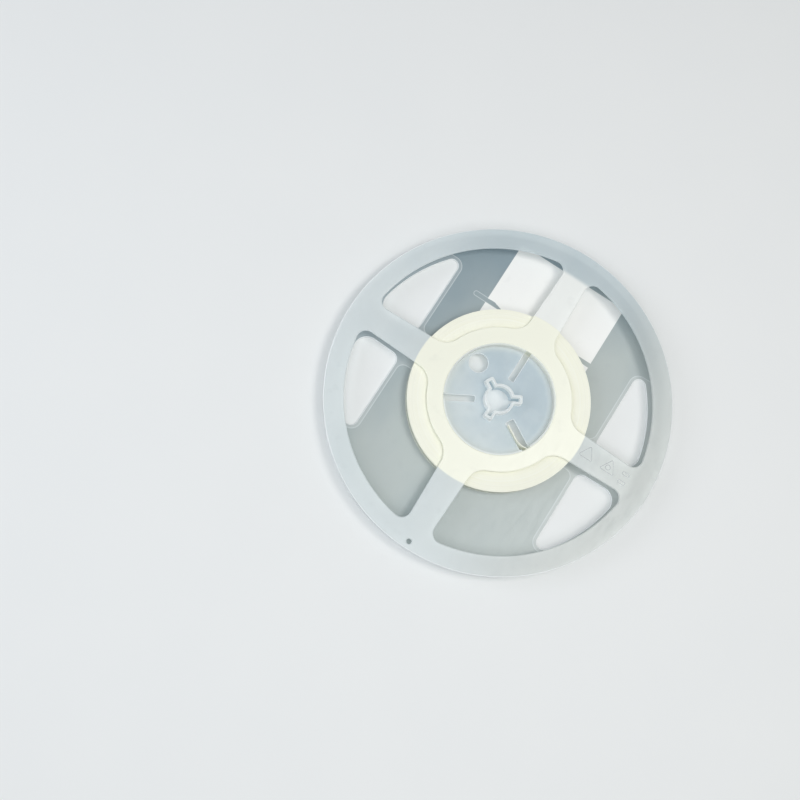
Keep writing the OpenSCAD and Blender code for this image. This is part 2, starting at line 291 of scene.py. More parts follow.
@dataclass(frozen=True)
class LabelSidePolystyrene(MilkyPolystyrene):
    """The milky sheet of the label-side moulding, with the lit label and roll painted in where they show through it.
    """

    name: str = "milky_polystyrene_label_side"
    painted_shade: str = "#9EAFB7"
    body: str = "#CED5D2"
    clear: float = 0.2
    shade_way: tuple[float, float] = (0.7, -0.7)
    shade_span: tuple[float, float] = (-78.0, 8.0)
    # The hub's first colour is a painted shade, the second its lit end.
    hub_painted_shade: str = "#C9D7DF"
    hub: str = "#E6EEF0"
    # A painted glow for the drum wall and the collar.
    wall: str = "#F4F7F5"
    # Lit colours of the label and the roll, painted where they show through the sheet.
    label_lit: str = "#FDFDFA"
    roll_lit: str = "#F3F4E6"
    rib_highlight: str = "#F0F5F6"
    frame_half: tuple[float, float] = (58.5, 48.35)
    frame_reach: float = 5.5
    bar_half: float = 10.0
    panel_corner: float = 4.0
    panel_r: float = 87.2
    groove_half: float = 39.7
    groove_y: float = 43.2
    groove_wall: float = 1.4
    label_x: tuple[float, float] = (-33.2, 30.8)
    label_y: tuple[float, float] = (32.0, 79.5)
    roll_r: tuple[float, float] = (29.6, 47.5)
    drum_wall_r: float = 28.1
    lip_z: float = 6.9

    def panel_edge(self, plan: PlanPattern) -> Socket:
        """Gives how far a point lies inside the shallow panels on the outer face, below 0 outside them."""
        half_x, half_y = self.frame_half
        across = plan.math("MAXIMUM", plan.math("SUBTRACT", half_x * MM, plan.math("ABSOLUTE", plan.x)), 0.0)
        from_frame = plan.math("SUBTRACT", plan.reach(across, plan.past(plan.y, half_y)), self.frame_reach * MM)
        from_bar = plan.math("SUBTRACT", plan.math("ABSOLUTE", plan.y), self.bar_half * MM)
        corner = self.panel_corner * MM
        short_of = [
            plan.math("MAXIMUM", plan.math("SUBTRACT", corner, part), 0.0) for part in (from_frame, from_bar)
        ]
        inner = plan.math("SUBTRACT", corner, plan.reach(*short_of))
        return plan.math("MINIMUM", inner, plan.math("SUBTRACT", self.panel_r * MM, plan.radius))

    def groove(self, plan: PlanPattern) -> Socket:
        """Gives the distance from the middle line of the groove across the labelled panel."""
        return plan.reach(plan.past(plan.x, self.groove_half), plan.math("SUBTRACT", plan.y, self.groove_y * MM))

    def label_mask(self, plan: PlanPattern) -> Socket:
        """Masks where the label sticks to the sheet: everywhere but along the groove's open ends."""
        sheet = plan.patch(self.label_x, self.label_y, 0.35)
        bridge = plan.spread(plan.math("ABSOLUTE", plan.x), 20 * MM, 29 * MM, 2.7 * MM, 0.0)
        wave = plan.blotches(4.0, -0.4 * MM, 0.4 * MM)
        sag = plan.math("ADD", bridge, wave)
        left = plan.math("LESS_THAN", plan.x, 0.0)
        top = plan.math("SUBTRACT", plan.y, self.groove_y * MM)
        side = plan.math("MULTIPLY_ADD", left, 2.0, -1.0)
        height = plan.math("MULTIPLY_ADD", side, top, sag)
        wall = self.groove_wall
        loose = plan.math(
            "MULTIPLY", plan.fade(self.groove(plan), wall, wall - 0.2), plan.fade(height, wall, wall - 0.2)
        )
        return plan.math("MULTIPLY", sheet, plan.math("SUBTRACT", 1.0, loose))

    def dress(self, plan: PlanPattern, colour: Socket) -> tuple[Socket, Any]:
        """Adds painted highlight lines at each rib step and the groove, painted shade and glow on the hub, and the
        lit colours of what touches the sheet from below.
        """
        # The raised frame is a shade lighter, with painted highlight lines along each rib step and the groove's
        # edges.
        edge = self.panel_edge(plan)
        colour = plan.blend(plan.math("MULTIPLY", plan.fade(edge, 0.1, -0.1), 0.2), colour, "#FFFFFF")
        groove_highlight = plan.math("MULTIPLY", plan.between(self.groove(plan), 1.1, 1.5, 0.15), plan.fade(plan.x, 33, 20))
        rib_highlights = plan.math("MAXIMUM", plan.between(edge, -0.22, 0.22, 0.15), groove_highlight)
        colour = plan.blend(plan.math("MULTIPLY", rib_highlights, 0.7), colour, self.rib_highlight)
        # Painted light: where the label and the roll touch the sheet, it takes their lit colours.
        label = self.label_mask(plan)
        colour = plan.blend(label, colour, self.label_lit)
        roll = plan.between(plan.radius, *self.roll_r, 0.6)
        colour = plan.blend(roll, colour, self.roll_lit)
        # Painted shade across the hub's web, darker towards one side, with random blotches on top.
        slant = plan.math("MULTIPLY_ADD", plan.x, 0.6, plan.y)
        shade_and_blotches = plan.math("ADD", plan.fade(slant, 16, -34), plan.blotches(9.0, -0.2, 0.2))
        hub = plan.blend(shade_and_blotches, self.hub_painted_shade, self.hub)
        # Painted glow: the web lightens towards the drum wall, and the drum wall and the collar's top edge and walls
        # take the bright wall colour.
        hub = plan.blend(plan.math("MULTIPLY", plan.fade(plan.radius, 24.5, 28.3), 0.6), hub, self.wall)
        hub = plan.blend(plan.fade(plan.radius, self.drum_wall_r - 0.05, self.drum_wall_r + 0.05), hub, self.wall)
        lip_glow = plan.math("MULTIPLY", plan.fade(plan.z, self.lip_z, self.lip_z + 0.1), plan.fade(plan.radius, 15, 14))
        hub = plan.blend(lip_glow, hub, self.wall)
        colour = plan.blend(plan.fade(plan.radius, 29.4, 29.2), colour, hub)
        return colour, plan.math("MAXIMUM", label, roll)


@dataclass(frozen=True)
class OpenSidePolystyrene(MilkyPolystyrene):
    """The milky sheet of the open-side flange, nearly lost against the roll that it lies on, whose lit colour is
    painted into the ring.
    """

    name: str = "milky_polystyrene_open_side"
    painted_shade: str = "#CFDBDF"
    body: str = "#EEF4F4"
    clear: float = 0.16
    shade_way: tuple[float, float] = (-0.5, -0.85)
    shade_span: tuple[float, float] = (-88.0, 60.0)
    # Lit colours of the roll and the label, painted where they show through the sheet.
    roll_lit: str = "#FAFAE9"
    label_lit: str = "#FAFBF7"
    warm_light_side: str = "#EAEBE4"

    def dress(self, plan: PlanPattern, colour: Socket) -> tuple[Socket, Any]:
        """Paints the lit roll close below the ring, light from the label further down onto one arm, a warmer lit side
        and shade on the rim.
        """
        # Painted light: the side towards +X is tinted warmer, as if a warmer lamp fell on it.
        warm_light = plan.math("MULTIPLY", plan.fade(plan.x, 10, 85), 0.7)
        colour = plan.blend(warm_light, colour, self.warm_light_side)
        # Painted light: one arm is lightened where the label far below throws light up onto it.
        label = plan.patch((-13.0, 13.0), (32.0, 76.0), 3.0)
        colour = plan.blend(label, colour, self.label_lit)
        # Painted shade: the outer rim is darkened a little on the +X side.
        thick = plan.math("MULTIPLY", plan.fade(plan.radius, 76, 82), plan.fade(plan.x, 0, 50))
        colour = plan.blend(thick, colour, "#EFEFEF", "MULTIPLY")
        # Painted light: the ring takes the lit colour of the roll close below it.
        roll = plan.fade(plan.radius, 47.9, 47.1)
        colour = plan.blend(roll, colour, self.roll_lit)
        return colour, plan.math("MAXIMUM", roll, plan.math("MULTIPLY", label, 0.6))


@dataclass(frozen=True)
class GlowingEdge(Finish):
    """The same polystyrene at an edge, in a painted glow: brighter, for the light that ran along inside the sheet and
    leaves it there.
    """

    body: str
    near_roll: str = "#F8F8EC"
    roughness: float = 0.26
    ior: float = 1.59

    def shade(self, plan: PlanPattern) -> Socket:
        """Adds this finish's nodes and returns its shader."""
        tree = plan.tree
        colour = plan.blend(plan.spread(plan.noise(2.4, 3.0), 0.45, 0.75, 0.0, 0.2), self.body, "#DDE4E5")
        # Painted light: near the roll the edge takes the roll's lit colour.
        colour = plan.blend(plan.between(plan.radius, 29.5, 47.5, 0.8), colour, self.near_roll)
        shell = add_node(tree, "BsdfPrincipled", {"Base Color": colour, "Roughness": self.roughness, "IOR": self.ior})
        return shell.outputs[0]


@dataclass(frozen=True)
class CarrierPaper(Finish):
    """Punched paper carrier tape, mostly seen on edge: matt cream board with fine fibres.

    Neighbouring turns differ a little in tone, and long soft bands show where the winding tension changed.
    """

    name: str = "carrier_paper"
    light: str = "#FEFEF1"
    dark: str = "#F9F8E5"
    line: str = "#EFEDDA"
    roughness: float = 0.85

    def shade(self, plan: PlanPattern) -> Socket:
        """Adds this finish's nodes and returns its shader."""
        tree = plan.tree
        turn_tone = plan.spread(plan.ripple(plan.radius, 0.8), 0.25, 0.75, 0, 0.5)
        band_tone = plan.spread(plan.ripple(plan.radius, 5.0, 2.0), 0.3, 0.7, 0, 0.5)
        tone = plan.math("ADD", turn_tone, band_tone)
        patchy = plan.math("MULTIPLY", tone, plan.blotches(14.0, 0.5, 1.0))
        colour = plan.blend(patchy, self.light, self.dark)
        # Thin, slightly darker lines at some radii of the roll.
        thin_lines = plan.spread(plan.ripple(plan.radius, 1.3, 0.0), 0.7, 0.78, 0, 0.5)
        colour = plan.blend(thin_lines, colour, self.line)
        bump = add_node(tree, "Bump", {"Height": plan.noise(0.35, 4.0), "Strength": 0.35, "Distance": 0.04 * MM})
        shell = add_node(
            tree,
            "BsdfPrincipled",
            {"Base Color": colour, "Roughness": self.roughness, "Normal": bump.outputs[0]},
        )
        return shell.outputs[0]


@dataclass(frozen=True)
class SpeckledSolid(Finish):
    """A small opaque thing with a fine uneven tone, such as fired ceramic or tinned metal."""

    light: str
    dark: str
    roughness: float
    metallic: float = 0.0

    def shade(self, plan: PlanPattern) -> Socket:
        """Adds this finish's nodes and returns its shader."""
        tree = plan.tree
        colour = plan.blend(plan.spread(plan.noise(0.3, 2.0), 0.35, 0.65), self.light, self.dark)
        shell = add_node(
            tree,
            "BsdfPrincipled",
            {"Base Color": colour, "Roughness": self.roughness, "Metallic": self.metallic},
        )
        return shell.outputs[0]


@dataclass(frozen=True)
class ClearFilm(Finish):
    """Polyester cover film: clear, thin and glossy, so it shows mainly as a sheen over the pockets."""

    name: str = "polyester_film"
    tint: str = "#EEF1EC"
    clear: float = 0.72
    roughness: float = 0.18
    ior: float = 1.6

    def shade(self, plan: PlanPattern) -> Socket:
        """Adds this finish's nodes and returns its shader."""
        tree = plan.tree
        colour = plan.blend(plan.blotches(7.0), self.tint, "#F8F9F6")
        shell = add_node(tree, "BsdfPrincipled", {"Base Color": colour, "Roughness": self.roughness, "IOR": self.ior})
        through = add_node(tree, "BsdfTransparent", {"Color": linear_rgba("#FBFCFA")})
        mix = add_node(tree, "MixShader", {0: self.clear, 1: shell.outputs[0], 2: through.outputs[0]})
        return mix.outputs[0]


@dataclass(frozen=True)
class LabelPaper(Finish):
    """White coated label paper with plain generic print on its outer side, and a stroke of marker pen."""

    name: str = "label_paper"
    sheet: str = "#F7F8F5"
    ink: str = "#24262B"
    blue: str = "#2B4FA0"
    yellow: str = "#F3E63A"
    roughness: float = 0.55
    yellow_fields: tuple[Field, ...] = ((-33.2, 11.0, 32.0, 36.2), (28.4, 30.8, 32.0, 36.2))
    bar_fields: tuple[Field, ...] = (
        (-14.0, 29.0, 67.0, 71.0),
        (-20.0, 29.0, 57.8, 61.6),
        (3.0, 28.0, 38.6, 41.6),
    )
    word_rows: tuple[Field, ...] = (
        (-8.0, 29.0, 72.2, 73.7),
        (-26.0, 26.0, 62.8, 64.3),
        (-14.0, 29.0, 56.0, 57.2),
        (-30.0, 29.0, 47.4, 49.4),
        (-12.0, 28.0, 44.9, 46.1),
        (2.0, 28.0, 42.4, 43.5),
    )
    blue_rows: tuple[Field, ...] = ((14.0, 27.0, 33.0, 35.0),)

    def cut(self, plan: PlanPattern, fields: Iterable[Field], size: float, share: float) -> Socket:
        """Masks rectangles that are cut into upright bars.

        Args:
            plan: The pattern maker of this material.
            fields: The rectangles, each as two X marks and two Y marks in millimetres.
            size: Width of one bar with its gap, in millimetres.
            share: How much of the noise's range counts as gap.

        Returns:
            The mask of all the bars.
        """
        total: Any = 0.0
        for x0, x1, y0, y1 in fields:
            shifted = plan.math("ADD", plan.x, (y0 * 7 + x0) * MM)
            bars = plan.spread(plan.ripple(shifted, size, 1.0), share - 0.02, share + 0.02)
            total = plan.math("MAXIMUM", total, plan.math("MULTIPLY", plan.patch((x0, x1), (y0, y1), 0.1), bars))
        return total

    def shade(self, plan: PlanPattern) -> Socket:
        """Adds this finish's nodes and returns its shader."""
        tree = plan.tree
        outside = plan.fade(plan.z, 0.21, 0.17)
        printed = plan.blend(plan.blotches(6.0, 0, 0.5), self.sheet, "#EFF0EC")
        for x0, x1, y0, y1 in self.yellow_fields:
            printed = plan.blend(plan.patch((x0, x1), (y0, y1), 0.1), printed, self.yellow)
        black = plan.math(
            "MAXIMUM", self.cut(plan, self.bar_fields, 0.9, 0.5), self.cut(plan, self.word_rows, 1.7, 0.42)
        )
        printed = plan.blend(black, printed, self.ink)
        printed = plan.blend(self.cut(plan, self.blue_rows, 1.9, 0.4), printed, self.blue)
        swing = plan.math("PINGPONG", plan.math("MULTIPLY", plan.x, 1.5), 1.9 * MM)
        swing = plan.math("ADD", swing, plan.blotches(6.0, -0.4 * MM, 0.4 * MM))
        stroke = plan.between(plan.math("SUBTRACT", plan.y, swing), 50.9, 52.3, 0.15)
        stroke = plan.math("MULTIPLY", stroke, plan.between(plan.x, -17.0, 21.0, 0.6))
        printed = plan.blend(stroke, printed, "#15161A")
        colour = plan.blend(outside, self.sheet, printed)
        shell = add_node(tree, "BsdfPrincipled", {"Base Color": colour, "Roughness": self.roughness})
        return shell.outputs[0]


def welded_copy(node: str) -> Mesh:
    """Copies a frame node's mesh with its loose triangles merged into whole faces.

    Args:
        node: The frame node's name.

    Returns:
        A bmesh in the row frame. The caller frees it.
    """
    mesh = bmesh.new()
    mesh.from_mesh(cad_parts[node].data)
    bmesh.ops.remove_doubles(mesh, verts=mesh.verts, dist=0.001 * MM)
    bmesh.ops.dissolve_limit(mesh, angle_limit=math.radians(0.3), verts=mesh.verts, edges=mesh.edges)
    for face in mesh.faces:
        face.material_index = 0
        face.smooth = True
    return mesh


def make_piece(name: str, mesh: Mesh, finishes: Iterable[Finish]) -> Piece:
    """Turns a bmesh into a piece that rides on the reel.

    Args:
        name: The piece's name.
        mesh: Its shape in the row frame, freed here.
        finishes: Its finishes, in the order of its faces' material numbers.

    Returns:
        The new object.
    """
    data = bpy.data.meshes.new(name)
    mesh.to_mesh(data)
    mesh.free()
    for finish in finishes:
        data.materials.append(finish.build())
    piece = put_in_scene(name, data)
    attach(piece, BODY)
    return piece


def whole(mesh: Mesh) -> list[Any]:
    """Lists every vertex, edge and face of a mesh, as the operators take them."""
    return [*mesh.verts, *mesh.edges, *mesh.faces]


def made_verts(made: dict[str, Any]) -> list[Vert]:
    """Picks the vertices out of what an operator gives back."""
    return [part for part in made["geom"] if isinstance(part, Vert)]


def pour_into(target: Mesh, part: Mesh) -> None:
    """Adds one mesh to another and frees it."""
    data = bpy.data.meshes.new("part")
    part.to_mesh(data)
    part.free()
    target.from_mesh(data)
    bpy.data.meshes.remove(data)


def nearest_face(mesh: Mesh, spot: Vector) -> bmesh.types.BMFace:
    """Finds the face whose middle lies nearest to a spot."""
    return min(mesh.faces, key=lambda face: (face.calc_center_median() - spot).length)


def round_corners(mesh: Mesh, width: float, segments: int) -> None:
    """Rounds the corners of a flat outline, width millimetres along its edges."""
    bmesh.ops.bevel(
        mesh,
        geom=list(mesh.verts),
        offset=width * MM,
        offset_type="OFFSET",
        segments=segments,
        profile=0.5,
        affect="VERTICES",
        material=-1,
    )


def sharp_edges(mesh: Mesh, degrees: float, keep: Callable[[Vector], bool]) -> list[Edge]:
    """Finds the edges where two faces meet at more than an angle.

    Args:
        mesh: The mesh that is searched.
        degrees: The smallest angle between the two faces.
        keep: Says from an edge's middle whether it counts.

    Returns:
        The edges.
    """
    found = []
    for edge in mesh.edges:
        if len(edge.link_faces) != 2:
            continue
        if edge.calc_face_angle() < math.radians(degrees):
            continue
        if keep((edge.verts[0].co + edge.verts[1].co) / 2):
            found.append(edge)
    return found


def round_edges(
    mesh: Mesh, edges: list[Edge], width: float, segments: int = 2, glow: int = 1
) -> None:
    """Rounds edges and gives the new faces the glowing material.

    Args:
        mesh: The mesh that is changed.
        edges: The edges that are rounded.
        width: How far the rounding reaches from the edge, in millimetres.
        segments: Number of faces across the rounding.
        glow: The material number of the new faces.
    """
    bmesh.ops.bevel(
        mesh,
        geom=edges,
        offset=width * MM,
        offset_type="OFFSET",
        segments=segments,
        profile=0.5,
        affect="EDGES",
        clamp_overlap=False,
        material=glow,
    )


def true_rim(mesh: Mesh, radius: float, rounding: float) -> None:
    """Gives a flange one clean outer wall with evenly rounded edges.

    Args:
        mesh: The flange, whose outer rounding is uneven. It is changed.
        radius: The flange's outer radius, in millimetres.
        rounding: Radius of the wall's rounded edges, in millimetres.
    """
    limit = (radius - rounding - 0.05) * MM
    rough = [f for f in mesh.faces if all(v.co.xy.length > limit for v in f.verts)]
    bmesh.ops.delete(mesh, geom=rough, context="FACES")
    border = [e for e in mesh.edges if e.is_boundary]
    for vert in {v for e in border for v in e.verts}:
        vert.co.xy = vert.co.xy.normalized() * radius * MM
    bmesh.ops.bridge_loops(mesh, edges=border)
    bmesh.ops.recalc_face_normals(mesh, faces=mesh.faces)
    corners = sharp_edges(mesh, 60, lambda p: p.xy.length > (radius - 0.1) * MM)
    round_edges(mesh, corners, rounding, 3)


def glow_walls(mesh: Mesh, nearest: float) -> None:
    """Gives the upright walls beyond a radius in millimetres, and the outer rim, the glowing material."""
    for face in mesh.faces:
        reach = face.calc_center_median().xy.length
        upright = abs(face.normal.z) < UPRIGHT and reach > nearest * MM
        if upright or (abs(face.normal.z) < 0.97 and reach > RIM_R * MM):
            face.material_index = 1


def settle_shading(mesh: Mesh) -> None:
    """Shades flat faces flat and curved walls smooth, with a crisp line where two faces meet at a corner."""
    for face in mesh.faces:
        face.smooth = abs(face.normal.z) < LEVEL
    for edge in mesh.edges:
        edge.smooth = len(edge.link_faces) == 2 and edge.calc_face_angle(0) < math.radians(40)


@dataclass
class LabelSideMoulding:
    """The moulding that holds the label: a banded flange with the drum, the web and the keyed collar on it."""

    flange_r: float = 90.0
    rim_edge: float = 0.4
    window_edge: float = 0.32
    hub_edge: float = 0.22
    window_zone: tuple[float, float] = (50.0, 89.0)
    window_z: float = 1.1
    hub_zone: float = 27.9
    hub_z: float = 6.3
    glow_from: float = 31.0
    finish: Finish = LabelSidePolystyrene()

    def build(self) -> Piece:
        """Builds the moulding from the frame's solid, with rounded edges in a painted glow, and returns it."""
        mesh = welded_copy("label_side_flange")
        true_rim(mesh, self.flange_r, self.rim_edge)
        near, far = self.window_zone
        windows = sharp_edges(mesh, 40, lambda p: near * MM < p.xy.length < far * MM and p.z > self.window_z * MM)
        round_edges(mesh, windows, self.window_edge)
        hub = sharp_edges(mesh, 40, lambda p: p.xy.length < self.hub_zone * MM and p.z > self.hub_z * MM)
        round_edges(mesh, hub, self.hub_edge)
        glow_walls(mesh, self.glow_from)
        settle_shading(mesh)
        finishes = [self.finish, GlowingEdge("polystyrene_edge_glow_label_side", "#F6F9F9")]
        piece = make_piece("label_side_moulding", mesh, finishes)
        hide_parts("label_side_flange")
        return piece


@dataclass
class OpenSideFlange:
    """The flange on the open side: a rim and four arms round a ring that sits on the drum."""

    flange_r: float = 90.0
    rim_edge: float = 0.4
    top_edge: float = 0.45
    low_edge: float = 0.15
    inner_zone: float = 89.0
    top_z: float = 11.3
    low_z: float = 10.3
    finish: Finish = OpenSidePolystyrene()

    def build(self) -> Piece:
        """Builds the flange from the frame's solid, with rounded edges and a painted glow on its rim, and returns it.
        """
        mesh = welded_copy("open_side_flange")
        true_rim(mesh, self.flange_r, self.rim_edge)
        top = sharp_edges(mesh, 60, lambda p: p.xy.length < self.inner_zone * MM and p.z > self.top_z * MM)
        round_edges(mesh, top, self.top_edge, 3, 0)
        low = sharp_edges(mesh, 60, lambda p: p.xy.length < self.inner_zone * MM and p.z < self.low_z * MM)
        round_edges(mesh, low, self.low_edge, 2, 0)
        glow_walls(mesh, self.inner_zone)
        settle_shading(mesh)
        finishes = [self.finish, GlowingEdge("polystyrene_edge_glow_open_side", "#F6F9F9")]
        piece = make_piece("open_side_disc", mesh, finishes)
        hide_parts("open_side_flange")
        return piece


class Shape(Enum):
    """Outlines of the raised marks on an arm."""

    TRIANGLE = 3
    RING = 24
    BAR = 4


@dataclass
class RaisedMarks:
    """Plain raised outlines on one arm of the open-side flange, with softly rounded corners."""

    surface_z: float = 11.4
    sink: float = 0.04
    height: float = 0.14
    line: float = 0.42
    corner: float = 0.3
    bar_sides: tuple[float, float] = (1.6, 0.75)
    marks: tuple[tuple[Shape, float, float, float], ...] = (
        (Shape.TRIANGLE, 52.6, 0.4, 5.0),
        (Shape.TRIANGLE, 65.4, 0.4, 5.2),
        (Shape.RING, 65.0, 0.4, 1.5),
        (Shape.BAR, 74.6, 2.4, 1.9),
        (Shape.BAR, 74.6, -2.4, 1.9),
    )

    def outline(self, shape: Shape, size: float) -> Mesh:
        """Makes one flat outline round the origin.

        Args:
            shape: Which outline.
            size: Distance from its middle to its corners, in millimetres.

        Returns:
            A bmesh with the outline as one ring of faces.
        """
        mesh = bmesh.new()
        bmesh.ops.create_circle(mesh, cap_ends=True, segments=shape.value, radius=size * MM)
        if shape is Shape.BAR:
            bmesh.ops.rotate(mesh, verts=mesh.verts, matrix=Matrix.Rotation(math.pi / 4, 3, "Z"))
            bmesh.ops.scale(mesh, verts=mesh.verts, vec=(*self.bar_sides, 1))
        if shape is not Shape.RING:
            round_corners(mesh, size * self.corner, 4)
        middle = mesh.faces[:]
        bmesh.ops.inset_individual(mesh, faces=middle, thickness=self.line * MM)
        bmesh.ops.delete(mesh, geom=middle, context="FACES")
        return mesh

    def build(self) -> Piece:
        """Builds all the marks as one piece and returns it."""
        marks = bmesh.new()
        for shape, x, y, size in self.marks:
            mesh = self.outline(shape, size)
            made = bmesh.ops.extrude_face_region(mesh, geom=list(mesh.faces), use_keep_orig=True)
            bmesh.ops.translate(mesh, verts=made_verts(made), vec=(0, 0, self.height * MM))
            bmesh.ops.translate(mesh, verts=mesh.verts, vec=(x * MM, y * MM, (self.surface_z - self.sink) * MM))
            bmesh.ops.recalc_face_normals(mesh, faces=mesh.faces)
            pour_into(marks, mesh)
        settle_shading(marks)
        # Painted shade: the marks are coloured darker than the arm, for the shade along their sides.
        piece = make_piece("raised_marks", marks, [GlowingEdge("polystyrene_relief_shade", "#9DA5A6")])
        return piece


@dataclass
class TapeRoll:
    """The part roll of paper carrier tape: one long strip wound on the drum, its inner end through the slot.

    All but the last turn is a plain strip. The last turn shows its sprocket holes and its pockets, so it is
    made flat, cell by cell, and then bent round the roll.
    """

    drum_r: float = 30.0
    outer_r: float = 47.63
    low_z: float = 1.2
    width: float = 8.0
    thickness: float = 0.405
    pitch: float = 0.43
    turns: int = 41
    slot_angle: float = 330.0
    end_angle: float = 100.0
    blocks: int = 39
    block_steps: int = 113
    edge_chamfer: float = 0.05
    wander: float = 0.1
    tip: tuple[float, float] = (13.8, -1.995)
    bend_x: float = 21.806
    bend_r: float = 10.0
    bend: float = 43.0
    fold_r: float = 0.9
    hole_pitch: float = 4.0
    hole_d: float = 1.5
    hole_edge: float = 1.75
    pocket: tuple[float, float] = (1.1, 1.9)
    pocket_edge: float = 5.25
    chip: tuple[float, float, float] = (0.8, 1.6, 0.32)
    chip_cap: float = 0.55
    chip_play: float = 0.12
    chip_depth: float = 0.05
    film: tuple[float, float, float] = (0.35, 5.3, 0.03)
    film_gap: float = 0.006
    hole_room: float = 1.0
    pocket_room: float = 0.3
    rim_face: float = 0.2

    @property
    def first_r(self) -> float:
        """Radius of the strip's middle where it first lies on the drum."""
        return self.drum_r + self.thickness / 2 + 0.02

    @property
    def last_r(self) -> float:
        """Radius of the strip's middle where the last turn starts."""
        return self.outer_r - self.thickness / 2 - self.pitch

    @property
    def middle_z(self) -> float:
        """Height of the strip's middle."""
        return self.low_z + self.width / 2

    def threading(self) -> tuple[float, float]:
        """Works out how the inner end reaches the drum.

        Returns:
            The angle past the slot's middle where the strip lies flat on the drum, in radians, and the length
            of the straight piece before that, in millimetres.
        """
        bend = math.radians(self.bend)
        ahead = Vector((math.cos(bend), math.sin(bend)))
        left = Vector((-ahead.y, ahead.x))
        after = Vector((self.bend_x, self.tip[1])) + self.bend_r * Vector((ahead.y, 1 - ahead.x))
        centre_r = self.first_r - self.fold_r
        start = bend + math.asin((self.fold_r + after.dot(left)) / centre_r)
        centre = centre_r * Vector((math.cos(start), math.sin(start)))
        return start, (centre - after).dot(ahead)

    @property
    def sweep(self) -> float:
        """Angle from where the strip first lies on the drum to the start of the last turn, in radians."""
        start = math.radians(self.slot_angle) + self.threading()[0]
        return (math.radians(self.end_angle) - start) % math.tau + math.tau * (self.turns - 2)

    def section(self) -> Mesh:
        """Makes the tape's cross-section, an upright strip with chamfered edges, round the origin."""
        mesh = bmesh.new()
        bmesh.ops.create_grid(mesh, x_segments=1, y_segments=1, size=0.5)
        bmesh.ops.scale(mesh, verts=mesh.verts, vec=(self.thickness * MM, self.width * MM, 1))
        round_corners(mesh, self.edge_chamfer, 1)
        bmesh.ops.delete(mesh, geom=list(mesh.faces), context="FACES_ONLY")
        bmesh.ops.rotate(mesh, verts=mesh.verts, cent=(0, 0, 0), matrix=Matrix.Rotation(math.pi / 2, 3, "X"))
        return mesh

    def rise(self, angle: float) -> float:
        """Says how far the tape has drifted up its channel at an angle along the winding, in metres."""
        turn = angle / math.tau
        spot = Vector((1.3 * math.cos(angle), 1.3 * math.sin(angle), 1.7 * turn))
        return (0.5 + 0.5 * noise.noise(spot)) * self.wander * MM

    def winding(self) -> Mesh:
        """Winds the strip from the drum to where the last turn starts: one block, repeated and moved outwards."""
        mesh = self.section()
        ring = len(mesh.verts)
        steps = self.blocks * self.block_steps
        block_angle = self.sweep / self.blocks
        bmesh.ops.translate(mesh, verts=mesh.verts, vec=(self.first_r * MM, 0, self.middle_z * MM))
        bmesh.ops.spin(
            mesh,
            geom=list(mesh.edges),
            cent=(0, 0, 0),
            axis=(0, 0, 1),
            angle=block_angle,
            steps=self.block_steps,
            use_duplicate=False,
        )
        place = mesh.verts.layers.int.new("place")
        mesh.verts.ensure_lookup_table()
        for number, vert in enumerate(mesh.verts):
            vert[place] = number // ring
        block = whole(mesh)
        for number in range(1, self.blocks):
            made = bmesh.ops.duplicate(mesh, geom=block)
            verts = made_verts(made)
            turn = Matrix.Rotation(block_angle * number, 3, "Z")
            bmesh.ops.rotate(mesh, verts=verts, cent=(0, 0, 0), matrix=turn)
            for vert in verts:
                vert[place] += number * self.block_steps
        for vert in mesh.verts:
            share = vert[place] / steps
            vert.co.xy += vert.co.xy.normalized() * (self.last_r - self.first_r) * MM * share
            vert.co.z += self.rise(self.sweep * share)
        return mesh

    def tail_steps(self) -> list[Matrix]:
        """Lists the moves, in the strip's own frame, that lead back from the drum to the inner end's tip."""
        start, straight = self.threading()
        moves = []
        for radius, angle, steps in (
            (self.fold_r, start + math.pi / 2 - math.radians(self.bend), 5),
            (0.0, straight, 1),
            (self.bend_r, math.radians(self.bend), 8),
            (0.0, self.bend_x - self.tip[0], 1),
        ):
            for _ in range(steps):
                if radius:
                    out = Matrix.Translation((-radius * MM, 0, 0))
                    moves.append(out @ Matrix.Rotation(-angle / steps, 4, "Z") @ out.inverted())
                else:
                    moves.append(Matrix.Translation((0, -angle * MM, 0)))
        return moves

    def thread_tail(self, mesh: Mesh) -> None:
        """Adds the inner end to the winding, from the drum back through the slot."""
        place = Matrix.Translation((self.first_r * MM, 0, self.middle_z * MM + self.rise(0)))
        section = self.section()
        bmesh.ops.transform(section, matrix=place, verts=section.verts)
        known = set(mesh.edges)
        pour_into(mesh, section)
        live = [edge for edge in mesh.edges if edge not in known]
        for step in self.tail_steps():
            made = bmesh.ops.extrude_edge_only(mesh, edges=live)["geom"]
            verts = {part for part in made if isinstance(part, Vert)}
            ahead = place @ step
            bmesh.ops.transform(mesh, matrix=ahead @ place.inverted(), verts=list(verts))
            live = [
                part for part in made if isinstance(part, Edge) and set(part.verts) <= verts
            ]
            place = ahead

    def cells(self) -> int:
        """Says how many sprocket holes go round the last turn."""
        return round(math.tau * (self.outer_r - self.thickness) / self.hole_pitch)

